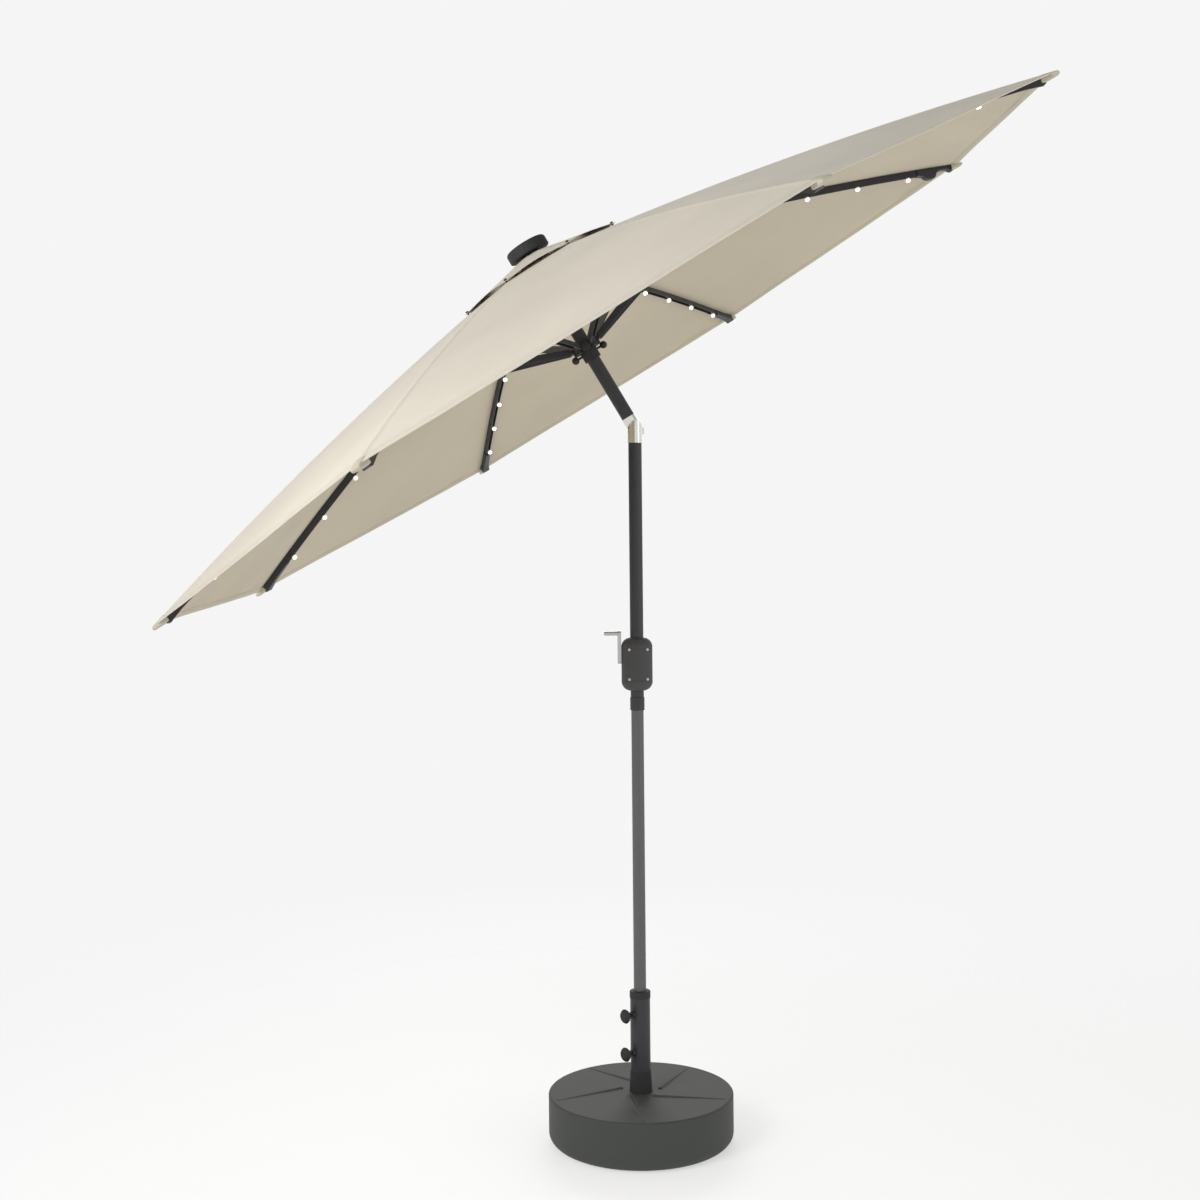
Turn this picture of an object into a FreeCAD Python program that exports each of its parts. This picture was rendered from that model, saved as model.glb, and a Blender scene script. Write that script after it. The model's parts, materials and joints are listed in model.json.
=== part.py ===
"""Tilting market umbrella on a round weighted base, in millimetres.

The origin is the centre of the base's underside, +Z is up, and the canopy leans towards -X.
The umbrella stands open and tilted. Canopy pieces are drawn upright about the tilt pivot,
with Z along the upper pole, and are then leaned over by TILT.
"""
import FreeCAD, Part
import os
from math import asin, atan2, cos, degrees, hypot, pi, radians, sin, sqrt, tan

V = FreeCAD.Vector
Rotation = FreeCAD.Rotation
Placement = FreeCAD.Placement
os.makedirs("parts", exist_ok=True)

# ---- driving dimensions -------------------------------------------------------------------
RUN_FIT = 0.06            # radial clearance of pins and shafts that turn
SLIDE_FIT = 0.4           # radial clearance of tubes and rings that slide
SEAT = 0.3                # gap between a moving piece and what it rests on

BASE_R = 250.0
BASE_H = 130.0
BASE_WALL = 4.0
BASE_LOWER_FILLET = 28.0
BASE_UPPER_FILLET = 5.0
RIDGE_COUNT = 5
RIDGE_H = 4.5
RIDGE_W = 20.0
RIDGE_TURN = 10.0         # degrees that a ridge is turned from the radial direction
RIDGE_START_AZ = -24.0

TUBE_R = 27.0
TUBE_WALL = 2.0
TUBE_TOP = BASE_H + 268.0
TUBE_CAP_H = 19.0
TUBE_CAP_LIP = 5.0
TUBE_CAP_R = 28.2
FOOT_R = 31.0
FOOT_H = 58.0
SCREW_AZ = 212.0
SCREW_HEIGHTS = {"lower": BASE_H + 108.0, "upper": BASE_H + 211.0}
SCREW_R = 4.0
NUT_R = 9.0
NUT_PROUD = 5.0
HEAD_R = 19.0
HEAD_THICK = 16.0
HEAD_GAP = 12.0           # from the welded nut to the head

POLE_R = 18.0
POLE_WALL = 1.2
LOWER_POLE_WALL = 1.5
POLE_FIT = 0.05           # between the telescoped poles
COLLAR_R = 19.5
COLLAR_BOTTOM = BASE_H + 1033.0
COLLAR_H = 35.0
POLE_OVERLAP = 90.0

PIVOT_Z = BASE_H + 1795.0
TILT = 30.9
JOINT_R = 19.0
JOINT_H = 41.0            # chrome length below the tilt pivot
JOINT_PLUG = 45.0
EAR_SLOT = 12.0
TONGUE_R = 12.0
TONGUE_SIDE = 0.4         # clearance each side of the tongue
TILT_PIN_R = 4.0
STOP_DROP = 6.6           # height of the tilt stop below the pivot
BUTTON_PROUD = 5.5
BUTTON_TOP = 2.0
BUTTON_H = 20.0
BUTTON_TRAVEL = 3.0
UPPER_POLE_BOTTOM = 34.0
UPPER_PLUG = 40.0

HOUSING_R = 42.0
HOUSING_STRAIGHT = 87.0
HOUSING_DOME = 28.0
HOUSING_Z = BASE_H + 1157.5
HOUSING_WALL = 3.0
HOUSING_NECK = 2.0
HOUSING_SCREW_X = 24.5
HOUSING_SCREW_Z = 40.0
HOUSING_SCREW_END = 12.0   # of each screw, behind the housing's middle
HOUSING_SCREW_R = 1.7
HOUSING_HEAD_R = 3.6
POST_R = 4.0
SHAFT_Z = BASE_H + 1174.0
SHAFT_R = 5.0
DRUM_HALF = 7.5
DRUM_ROOM = 0.9           # inside the pole, to the drum's edges
FLANGE_STEP = 2.0
FLANGE_T = 2.0
ARM_REACH = 66.5
ARM_TAIL = 15.0
ARM_W = 13.0
ARM_T = 9.0
ARM_GAP = 1.0
GRIP_R = 5.4
GRIP_PIN_R = 3.0
GRIP_L = 34.0
GRIP_CAP_T = 2.5

RIB_NAMES = "ABCDEFGH"
RIB_FIRST_AZ = 194.38
CANOPY_R = 1350.0
APEX_Z = 526.6            # where the rib lines meet, above the tilt pivot
RIM_Z = 180.8
FABRIC_T = 1.2
CANOPY_HOLE_R = 150.0
STRIP_STEPS = 8           # points along the bow of a panel
GORE_GAP = 19.0           # half gap between neighbouring sectors at the rim, for folding
SEAM_GAP = 0.2
BOW = 22.0                # rise of the ribs and the canopy above straight lines, mid-length

RIB_W = 12.0
RIB_D = 18.0
RIB_WALL = 1.2
RIB_DROP = 2.2            # from the fabric's outer face down to the rib
RIB_NECK = 40.0           # from the crown pin to the start of the channel
TONGUE_T = 6.0
TONGUE_INSET = 24.0       # of each tongue inside its channel
EYE_R = 6.0
CORNER_ROOM = 33.5        # along the rib, from the cap's end to the canopy's corner
TIP_L = 127.0
TIP_W = 18.0              # of the lobed cap
TIP_NECK_W = 15.2         # of a plain cap, at the rib
TIP_END_W = 26.0          # of a plain cap, at its end
TIP_FLARE = 48.0          # length that a plain cap flares over
TIP_END_D = 21.0          # depth of a plain cap at its end
LOBED_RIB = "E"
TIP_INSERT = 60.0         # of the rib inside its cap
CAP_STEP = 1.5            # from the rib's top down to its cap's
TIP_ARM = 10.0            # depth of the cap's arm, below its roof
TIP_LOBE = 32.0
TIP_HOOK = 18.0

RING_WIRE_R = 1.5
CROWN_RING_R = 30.0
CROWN_R = 44.0
CROWN_HALF = 12.0
CROWN_SLOT = 6.6
CROWN_SLOT_R = 22.0
BOSS_R = 27.0
VENT_R = 250.0
VENT_RISE = 6.0           # of the vent's corners above the main canopy
VENT_TOP = 540.0
VENT_SCALLOP = 18.0
STUD_R = 240.0
STUD_HEAD_R = 4.5
STUD_HEAD_T = 3.0
STUD_SHANK_R = 2.5
STUD_SEAT = 1.0           # of a stud's foot above the main canopy, at its middle
SOLAR_R = 58.5
SOLAR_T = 30.0
SOLAR_EDGE = 9.0
PANEL_R = 46.0
PANEL_T = 3.0

RUNNER_Z = 254.0
RUNNER_RING_R = 29.0
RUNNER_R = 40.0
RUNNER_HALF = 11.0
RUNNER_SLOT_R = 22.5
SLEEVE_R = 23.5
SLEEVE_BOTTOM = 215.0
KNOB_Z = 235.0
KNOB_REACH = 43.5
KNOB_R = 10.0
KNOB_ROD_R = 3.0

STRUT_AT = 490.0          # from the apex, along the rib, to the strut pivot
STRUT_DROP = 27.0         # of the strut pivot below the fabric line
STRUT_W = 12.0
STRUT_D = 17.0
STRUT_WALL = 1.2
STRUT_TONGUE_T = 9.0
STRUT_NECK = 22.0         # from each pivot to the end of the channel
BRACKET_WALL = 1.6
BRACKET_L = 30.0
STRUT_PIN_R = 2.0
OPEN_PIVOT_GAP = 1.3      # the linkage is opened at this pivot

LED_PLACES = (0.4925, 0.616, 0.738, 0.863)
LED_R = 7.0
LED_STEM_R = 3.5
LED_PROUD = 12.0
LED_GAP = 0.4
WIRE_R = 1.1

# ---- worked out ---------------------------------------------------------------------------
RIB_COUNT = len(RIB_NAMES)
GORE = 360.0 / RIB_COUNT
SLOPE = degrees(atan2(APEX_Z - RIM_Z, CANOPY_R))
RIB_LINE = hypot(APEX_Z - RIM_Z, CANOPY_R)
CAP_END = RIB_LINE - CORNER_ROOM
RIB_END = CAP_END - TIP_L + TIP_INSERT
LOWER_POLE_R = POLE_R - POLE_WALL - POLE_FIT
DRUM_FLANGE_R = sqrt((POLE_R - POLE_WALL - DRUM_ROOM) ** 2 - DRUM_HALF ** 2)
DRUM_R = DRUM_FLANGE_R - FLANGE_STEP
TUBE_BOTTOM = BASE_WALL
POLE_BOTTOM = TUBE_BOTTOM + 4.0 + SEAT
MID_POLE_TOP = PIVOT_Z - JOINT_H
RIB_CENTRE = -RIB_DROP - RIB_D / 2
CROWN_PIN_S = (CROWN_RING_R - RIB_CENTRE * sin(radians(SLOPE))) / cos(radians(SLOPE))
CROWN_PIN_Z = APEX_Z - CROWN_PIN_S * sin(radians(SLOPE)) + RIB_CENTRE * cos(radians(SLOPE))
BOW_HALF = (RIB_LINE - CROWN_PIN_S) / 2
BOW_MID = RIB_LINE - BOW_HALF
BOW_R = (BOW_HALF ** 2 + BOW ** 2) / (2 * BOW)


def bowed_z(x, offset=0.0):
    """Height above a straight rib line of the bowed line, or of a line beside it."""
    return sqrt((BOW_R + offset) ** 2 - (x - BOW_MID) ** 2) - BOW_R + BOW


STRUT_PIVOT_Z = bowed_z(STRUT_AT) - STRUT_DROP
STRUT_TOP_R = STRUT_AT * cos(radians(SLOPE)) + STRUT_PIVOT_Z * sin(radians(SLOPE))
STRUT_TOP_Z = APEX_Z - STRUT_AT * sin(radians(SLOPE)) + STRUT_PIVOT_Z * cos(radians(SLOPE))
STRUT_L = hypot(STRUT_TOP_R - RUNNER_RING_R, STRUT_TOP_Z - RUNNER_Z)
STRUT_RISE = degrees(atan2(STRUT_TOP_Z - RUNNER_Z, STRUT_TOP_R - RUNNER_RING_R))

Z_AXIS = V(0, 0, 1)
Y_AXIS = V(0, 1, 0)
X_AXIS = V(1, 0, 0)
LEAN = Placement(V(0, 0, PIVOT_Z), Rotation(Y_AXIS, -TILT))
RIB_AZ = {name: RIB_FIRST_AZ - GORE * i for i, name in enumerate(RIB_NAMES)}


# ---- helpers ------------------------------------------------------------------------------
def save(name, *solids):
    """Write one node, as its separate solids."""
    shape = solids[0] if len(solids) == 1 else Part.makeCompound(list(solids))
    shape.exportStep("parts/" + name + ".step")


def put(shape, placement):
    """The shape in another frame."""
    return shape.transformed(placement.toMatrix(), True)


def leaned(shape):
    """From the upright canopy frame to where it stands."""
    return put(shape, LEAN)


def on_rib(shape, azimuth):
    """From a rib's own frame: X out along the rib from the apex, Z out of the fabric."""
    turn = Rotation(Z_AXIS, azimuth) * Rotation(Y_AXIS, SLOPE)
    return put(shape, LEAN * Placement(V(0, 0, APEX_Z), turn))


def on_strut(shape, azimuth):
    """From a strut's own frame: X from its runner pivot to its rib pivot."""
    a = radians(azimuth)
    foot = V(RUNNER_RING_R * cos(a), RUNNER_RING_R * sin(a), RUNNER_Z)
    turn = Rotation(Z_AXIS, azimuth) * Rotation(Y_AXIS, -STRUT_RISE)
    return put(shape, LEAN * Placement(foot, turn))


def turned(shape, azimuth):
    return put(shape, Placement(V(0, 0, 0), Rotation(Z_AXIS, azimuth)))


def rod(radius, start, end):
    """A round bar between two points."""
    run = end - start
    return Part.makeCylinder(radius, run.Length, start, run)


def box(x0, x1, y0, y1, z0, z1):
    return Part.makeBox(x1 - x0, y1 - y0, z1 - z0, V(x0, y0, z0))


def upright(radius, z0, z1):
    return Part.makeCylinder(radius, z1 - z0, V(0, 0, z0))


def tube(outer, inner, z0, z1):
    return upright(outer, z0, z1).cut(upright(inner, z0, z1))


def solid_of(edges, axis=Z_AXIS):
    """Revolve a closed outline about an axis through the origin."""
    face = Part.Face(Part.Wire(edges))
    return face.revolve(V(0, 0, 0), axis, 360)


def line(a, b):
    return Part.LineSegment(a, b).toShape()


def arc(a, middle, b):
    return Part.Arc(a, middle, b).toShape()


def drum(radius, z0, z1, lower, upper):
    """A round block with rounded lower and upper edges."""
    k = 1 - sqrt(0.5)
    a = V(0, 0, z0)
    b = V(radius - lower, 0, z0)
    b2 = V(radius - lower * k, 0, z0 + lower * k)
    c = V(radius, 0, z0 + lower)
    d = V(radius, 0, z1 - upper)
    d2 = V(radius - upper * k, 0, z1 - upper * k)
    e = V(radius - upper, 0, z1)
    f = V(0, 0, z1)
    return solid_of([line(a, b), arc(b, b2, c), line(c, d), arc(d, d2, e), line(e, f), line(f, a)])


def ring_wire(ring_r, wire_r, z):
    """An eight-sided wire ring with the middle of each side on a rib."""
    corner = ring_r / cos(radians(GORE / 2))
    points = []
    for i in range(RIB_COUNT):
        a = radians(RIB_FIRST_AZ + GORE * (i + 0.5))
        points.append(V(corner * cos(a), corner * sin(a), z))
    pieces = [Part.makeSphere(wire_r, p) for p in points]
    pieces += [rod(wire_r, p, q) for p, q in zip(points, points[1:] + points[:1])]
    return pieces[0].multiFuse(pieces[1:]).removeSplitter()


def slotted(hub, width, slot_r, outer_r, z0, z1):
    """Cut one radial slot per rib into a hub."""
    slots = [turned(box(slot_r, outer_r + 1, -width / 2, width / 2, z0 - 1, z1 + 1), az)
             for az in RIB_AZ.values()]
    return hub.cut(slots)


# ---- base ---------------------------------------------------------------------------------
def base_ridge(azimuth):
    """A raised ridge that widens and rises towards the tube."""
    wires = []
    for x, width, height in ((FOOT_R + 8, RIDGE_W, RIDGE_H), (BASE_R - 14, RIDGE_W * 0.6, 1.2)):
        a = V(x, -width / 2, BASE_H - 1)
        b = V(x, width / 2, BASE_H - 1)
        c = V(x, 0, BASE_H + height)
        wires.append(Part.Wire([line(a, b), line(b, c), line(c, a)]))
    ridge = Part.makeLoft(wires, True, True)
    tip = V(BASE_R - 14, 0, 0)
    spin = Placement(V(0, 0, 0), Rotation(Z_AXIS, RIDGE_TURN), tip)
    return turned(put(ridge, spin), azimuth)


def make_base():
    outer = drum(BASE_R, 0, BASE_H, BASE_LOWER_FILLET, BASE_UPPER_FILLET)
    inner_r = BASE_R - BASE_WALL
    inner_lower = BASE_LOWER_FILLET - BASE_WALL
    inner = drum(inner_r, BASE_WALL, BASE_H - BASE_WALL, inner_lower, 1.0)
    ridges = [base_ridge(RIDGE_START_AZ + 360.0 / RIDGE_COUNT * i) for i in range(RIDGE_COUNT)]
    hole = upright(TUBE_R, BASE_WALL, BASE_H + RIDGE_H)
    shell = outer.fuse(ridges).cut([inner, hole, upright(FOOT_R, BASE_H, BASE_H + RIDGE_H)])
    save("base_shell", shell.removeSplitter())
    save("ballast", inner.cut(hole))

    barrel = tube(TUBE_R, TUBE_R - TUBE_WALL, TUBE_BOTTOM, TUBE_TOP)
    floor = upright(TUBE_R - TUBE_WALL, TUBE_BOTTOM, TUBE_BOTTOM + 4.0)
    barrel = barrel.fuse(floor)
    bore = upright(TUBE_R - TUBE_WALL, TUBE_BOTTOM + 4.0, TUBE_TOP)
    for height in SCREW_HEIGHTS.values():
        centre = V(0, 0, height)
        nut = rod(NUT_R, centre + V(TUBE_R - TUBE_WALL, 0, 0), centre + V(TUBE_R + NUT_PROUD, 0, 0))
        hole = rod(SCREW_R + RUN_FIT, centre, centre + V(TUBE_R + NUT_PROUD + 1, 0, 0))
        barrel = barrel.fuse(turned(nut, SCREW_AZ)).cut([bore, turned(hole, SCREW_AZ)])
    save("base_tube", barrel.removeSplitter())

    lip_z = TUBE_TOP - TUBE_CAP_H + TUBE_CAP_LIP
    cap = drum(TUBE_CAP_R, lip_z, TUBE_TOP + TUBE_CAP_LIP, 0.5, 3.0)
    cap = cap.cut(upright(TUBE_R, lip_z, TUBE_TOP))
    cap = cap.fuse(upright(TUBE_R - TUBE_WALL, lip_z - 10, TUBE_TOP))
    cap = cap.cut(upright(LOWER_POLE_R + SLIDE_FIT, lip_z - 10, TUBE_TOP + TUBE_CAP_LIP))
    save("tube_top_cap", cap.removeSplitter())
    foot = Part.makeCone(FOOT_R, TUBE_R + 0.8, FOOT_H, V(0, 0, BASE_H))
    save("tube_foot_collar", foot.cut(upright(TUBE_R, BASE_H, BASE_H + FOOT_H)))


def thumb_screw(height):
    """A screw with a round, lens-shaped head, pointing at the pole."""
    tip = LOWER_POLE_R + SEAT
    seat = TUBE_R + NUT_PROUD + HEAD_GAP
    shank = rod(SCREW_R, V(tip, 0, 0), V(seat + HEAD_THICK / 2, 0, 0))
    middle = V(seat + HEAD_THICK / 2, 0, 0)
    outline = [V(-HEAD_THICK / 2, 0, 0), V(-HEAD_THICK / 2, 0, SCREW_R + 1.5),
               V(-HEAD_THICK * 0.37, 0, HEAD_R * 0.78), V(0, 0, HEAD_R),
               V(HEAD_THICK * 0.37, 0, HEAD_R * 0.78), V(HEAD_THICK / 2, 0, SCREW_R),
               V(HEAD_THICK / 2, 0, 0)]
    a, b, b2, c, c2, d, e = [middle + p for p in outline]
    edges = [line(a, b), arc(b, b2, c), arc(c, c2, d), line(d, e), line(e, a)]
    head = solid_of(edges, X_AXIS)
    return turned(put(shank.fuse(head), Placement(V(0, 0, height), Rotation())), SCREW_AZ)


# ---- pole ---------------------------------------------------------------------------------
def make_poles():
    overlap_top = COLLAR_BOTTOM + POLE_OVERLAP
    lower = tube(LOWER_POLE_R, LOWER_POLE_R - LOWER_POLE_WALL, POLE_BOTTOM, overlap_top)
    save("lower_pole", lower)
    inner = POLE_R - POLE_WALL
    middle = upright(POLE_R, COLLAR_BOTTOM, MID_POLE_TOP)
    middle = middle.fuse(drum(COLLAR_R, COLLAR_BOTTOM, COLLAR_BOTTOM + COLLAR_H, 1.0, 1.0))
    shaft_hole = rod(SHAFT_R + RUN_FIT, V(-COLLAR_R, 0, SHAFT_Z), V(COLLAR_R, 0, SHAFT_Z))
    middle = middle.cut([upright(inner, COLLAR_BOTTOM, MID_POLE_TOP), shaft_hole])
    save("mid_pole", middle.removeSplitter())
    upper = tube(POLE_R, inner, UPPER_POLE_BOTTOM, CROWN_PIN_Z + CROWN_HALF - 6)
    save("upper_pole", leaned(upper))


def capsule(radius, dome, neck):
    """The crank housing's outline, turned about the pole."""
    half = HOUSING_STRAIGHT / 2
    dx = (radius - neck) * sqrt(0.5)
    dz = dome * sqrt(0.5)
    b = V(neck, 0, -half - dome)
    c = V(radius, 0, -half)
    edges = [line(V(0, 0, -half - dome), b), arc(b, V(neck + dx, 0, -half - dz), c),
             line(c, V(radius, 0, half)),
             arc(V(radius, 0, half), V(neck + dx, 0, half + dz), V(neck, 0, half + dome)),
             line(V(neck, 0, half + dome), V(0, 0, half + dome)),
             line(V(0, 0, half + dome), V(0, 0, -half - dome))]
    return put(solid_of(edges), Placement(V(0, 0, HOUSING_Z), Rotation()))


def make_crank():
    outer = capsule(HOUSING_R, HOUSING_DOME, POLE_R + HOUSING_NECK)
    inner = capsule(HOUSING_R - HOUSING_WALL, HOUSING_DOME - HOUSING_WALL, POLE_R)
    half = HOUSING_STRAIGHT / 2
    grooves = [tube(HOUSING_R + 1, HOUSING_R - 0.8, HOUSING_Z + z - 0.7, HOUSING_Z + z + 0.7)
               for z in (-half, half)]
    shaft_hole = rod(SHAFT_R + RUN_FIT, V(-HOUSING_R - 5, 0, SHAFT_Z), V(0, 0, SHAFT_Z))
    boss = rod(SHAFT_R + 4, V(-HOUSING_R + HOUSING_WALL - 1, 0, SHAFT_Z),
               V(-HOUSING_R - ARM_GAP / 2, 0, SHAFT_Z))
    whole = outer.cut([inner] + grooves).fuse(boss)
    places = [(x, HOUSING_Z + z) for x in (-HOUSING_SCREW_X, HOUSING_SCREW_X)
              for z in (-HOUSING_SCREW_Z, HOUSING_SCREW_Z)]
    head_y = -sqrt(HOUSING_R ** 2 - HOUSING_SCREW_X ** 2) + 3.0
    posts, holes, screws = [], [], []
    for x, z in places:
        posts.append(rod(POST_R, V(x, -HOUSING_R, z), V(x, HOUSING_R, z)).common(outer))
        holes.append(rod(HOUSING_SCREW_R, V(x, head_y, z), V(x, HOUSING_SCREW_END, z)))
        holes.append(rod(HOUSING_HEAD_R, V(x, -HOUSING_R, z), V(x, head_y, z)))
        shank = rod(HOUSING_SCREW_R, V(x, head_y, z), V(x, HOUSING_SCREW_END, z))
        head = rod(HOUSING_HEAD_R, V(x, head_y - 2.0, z), V(x, head_y, z))
        screws.append(shank.fuse(head).removeSplitter())
    whole = whole.fuse(posts).cut(holes + [shaft_hole, upright(POLE_R, HOUSING_Z - 99, HOUSING_Z + 99)])
    reach = HOUSING_R + 10
    z0, z1 = HOUSING_Z - 100, HOUSING_Z + 100
    save("crank_housing_front", whole.common(box(-reach, reach, -reach, 0, z0, z1)))
    save("crank_housing_rear", whole.common(box(-reach, reach, 0, reach, z0, z1)))
    save("housing_screws", *screws)

    arm_x = -HOUSING_R - ARM_GAP
    drum_body = rod(DRUM_R, V(-DRUM_HALF, 0, SHAFT_Z), V(DRUM_HALF, 0, SHAFT_Z))
    flanges = [rod(DRUM_FLANGE_R, V(x, 0, SHAFT_Z), V(x + FLANGE_T, 0, SHAFT_Z))
               for x in (-DRUM_HALF, DRUM_HALF - FLANGE_T)]
    shaft = rod(SHAFT_R, V(arm_x - ARM_T, 0, SHAFT_Z), V(POLE_R + 4, 0, SHAFT_Z))
    save("crank_drum", shaft.fuse([drum_body] + flanges).removeSplitter())
    grip_z = SHAFT_Z + ARM_REACH
    arm = box(arm_x - ARM_T, arm_x, -ARM_W / 2, ARM_W / 2, SHAFT_Z - ARM_TAIL + ARM_W / 2, grip_z)
    for z in (SHAFT_Z - ARM_TAIL + ARM_W / 2, grip_z):
        arm = arm.fuse(rod(ARM_W / 2, V(arm_x - ARM_T, 0, z), V(arm_x, 0, z)))
    pin_end = arm_x - ARM_T - GRIP_L - 2 * SEAT
    pin = rod(GRIP_PIN_R, V(arm_x - ARM_T, 0, grip_z), V(pin_end, 0, grip_z))
    pin_cap = rod(GRIP_R - 0.8, V(pin_end, 0, grip_z), V(pin_end - GRIP_CAP_T, 0, grip_z))
    hole = rod(SHAFT_R, V(arm_x - ARM_T, 0, SHAFT_Z), V(arm_x, 0, SHAFT_Z))
    save("crank_arm", arm.fuse([pin, pin_cap]).cut(hole).removeSplitter())
    grip_start = V(arm_x - ARM_T - SEAT, 0, grip_z)
    grip_end = V(arm_x - ARM_T - SEAT - GRIP_L, 0, grip_z)
    grip = rod(GRIP_R, grip_start, grip_end)
    grip = grip.cut(rod(GRIP_PIN_R + RUN_FIT, grip_start, grip_end))
    save("crank_grip", grip)


# ---- tilt joint ---------------------------------------------------------------------------
def across(radius, half):
    """A round bar along Y through the tilt pivot."""
    return rod(radius, V(0, -half, 0), V(0, half, 0))


def make_tilt():
    lift = Placement(V(0, 0, PIVOT_Z), Rotation())
    wide = JOINT_R + 2
    keep = across(JOINT_R, wide).fuse([box(-wide, 0, -wide, wide, -JOINT_H, -STOP_DROP),
                                       box(0, wide, -wide, wide, -JOINT_H, 0)])
    body = upright(JOINT_R, -JOINT_H, JOINT_R).common(keep)
    slot_half = EAR_SLOT / 2
    button_bottom = BUTTON_TOP - BUTTON_H
    slot = box(-wide, wide, -slot_half, slot_half, -TONGUE_R - 1, wide)
    button_slot = box(TONGUE_R, wide, -slot_half, slot_half, button_bottom - SEAT, 0)
    body = body.cut([slot, button_slot, across(TILT_PIN_R, wide)])
    plug = upright(POLE_R - POLE_WALL, -JOINT_H - JOINT_PLUG, -JOINT_H)
    save("tilt_lower_joint", put(body.fuse(plug).removeSplitter(), lift))
    save("tilt_pin", put(across(TILT_PIN_R, JOINT_R - 0.8), lift))

    inner_x = TONGUE_R + BUTTON_TRAVEL + 0.5
    tongue_half = slot_half - TONGUE_SIDE
    button = box(inner_x, JOINT_R + BUTTON_PROUD, -tongue_half, tongue_half, button_bottom, BUTTON_TOP)
    outer_edges = [e for e in button.Edges
                   if e.BoundBox.XMin > JOINT_R and e.BoundBox.YLength > 1]
    button = button.makeFillet(4.5, outer_edges)
    save("tilt_button", put(button, lift))

    collar = upright(JOINT_R, 0, UPPER_POLE_BOTTOM).cut(across(JOINT_R + SEAT, wide))
    relief = box(TONGUE_R, wide, -slot_half, slot_half, -wide, BUTTON_TOP + 5)
    tongue = across(TONGUE_R, tongue_half)
    tongue = tongue.fuse(box(-9, 9, -tongue_half, tongue_half, 0, JOINT_R + 4))
    plug = upright(POLE_R - POLE_WALL, UPPER_POLE_BOTTOM, UPPER_POLE_BOTTOM + UPPER_PLUG)
    upper = collar.cut(relief).fuse([tongue, plug]).cut(across(TILT_PIN_R + RUN_FIT, wide))
    save("tilt_upper_joint", leaned(upper.removeSplitter()))


# ---- crown, vent and solar cap ------------------------------------------------------------
def make_crown():
    z0, z1 = CROWN_PIN_Z - CROWN_HALF, CROWN_PIN_Z + CROWN_HALF
    boss_top = VENT_TOP - FABRIC_T - SEAT
    hub = drum(CROWN_R, z0, z1, 2.0, 3.0).fuse(upright(BOSS_R, z1, boss_top - 2.0))
    hub = hub.cut(upright(POLE_R, z0, z1 - 6))
    hub = slotted(hub, CROWN_SLOT, CROWN_SLOT_R, CROWN_R, z0, z1)
    ring = ring_wire(CROWN_RING_R, RING_WIRE_R, CROWN_PIN_Z)
    hub = hub.cut(ring_wire(CROWN_RING_R, RING_WIRE_R + 0.02, CROWN_PIN_Z))
    save("crown_hub", leaned(hub.removeSplitter()), leaned(ring))

    corner_z = canopy_z(VENT_R) + VENT_RISE
    panels = []
    for azimuth in RIB_AZ.values():
        panels.append(leaned(vent_panel(azimuth, azimuth + GORE, corner_z, boss_top)))
    save("vent_canopy", *panels)

    studs = []
    for azimuth in RIB_AZ.values():
        top = VENT_TOP - (VENT_TOP - corner_z) * (STUD_R - BOSS_R) / (VENT_R - BOSS_R)
        foot = canopy_z(STUD_R) + STUD_SEAT
        shank = rod(STUD_SHANK_R, V(STUD_R, 0, foot), V(STUD_R, 0, top + 2))
        head = drum(STUD_HEAD_R, 0, STUD_HEAD_T, 0.8, 1.2)
        head = put(head, Placement(V(STUD_R, 0, top + 1.0), Rotation()))
        studs.append(leaned(turned(shank.fuse(head).removeSplitter(), azimuth)))
    save("vent_studs", *studs)

    z0 = VENT_TOP + SEAT
    cap = drum(SOLAR_R, z0, z0 + SOLAR_T, 3.0, SOLAR_EDGE)
    pocket = upright(PANEL_R, z0 + SOLAR_T - PANEL_T, z0 + SOLAR_T)
    save("solar_housing", leaned(cap.cut(pocket)))
    save("solar_panel", leaned(upright(PANEL_R, z0 + SOLAR_T - PANEL_T, z0 + SOLAR_T - 0.5)))


def vent_panel(az0, az1, corner_z, boss_top):
    """One scalloped panel of the upper tier, a little short of the ribs it meets at."""
    a0, a1 = radians(az0), radians(az1)
    points = []
    for r, z, a, side in ((BOSS_R - 3, VENT_TOP, a0, 1), (VENT_R, corner_z, a0, 1),
                          (VENT_R, corner_z, a1, -1), (BOSS_R - 3, VENT_TOP, a1, -1)):
        step = V(-sin(a), cos(a), 0) * (SEAM_GAP * side)
        points.append(V(r * cos(a), r * sin(a), z) + step)
    p, q, r, s = points
    inward = ((p + s) - (q + r)).normalize()
    middle = (q + r) * 0.5 + inward * VENT_SCALLOP
    face = Part.Face(Part.Wire([line(p, q), arc(q, middle, r), line(r, s), line(s, p)]))
    normal = (q - p).cross(s - p).normalize()
    if normal.z < 0:
        normal = normal * -1
    panel = face.extrude(normal * -FABRIC_T)
    holes = []
    for azimuth in (az0, az1):
        hole = rod(STUD_SHANK_R + 0.2, V(STUD_R, 0, corner_z - 20), V(STUD_R, 0, VENT_TOP))
        holes.append(turned(hole, azimuth))
    return panel.cut(holes)


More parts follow.
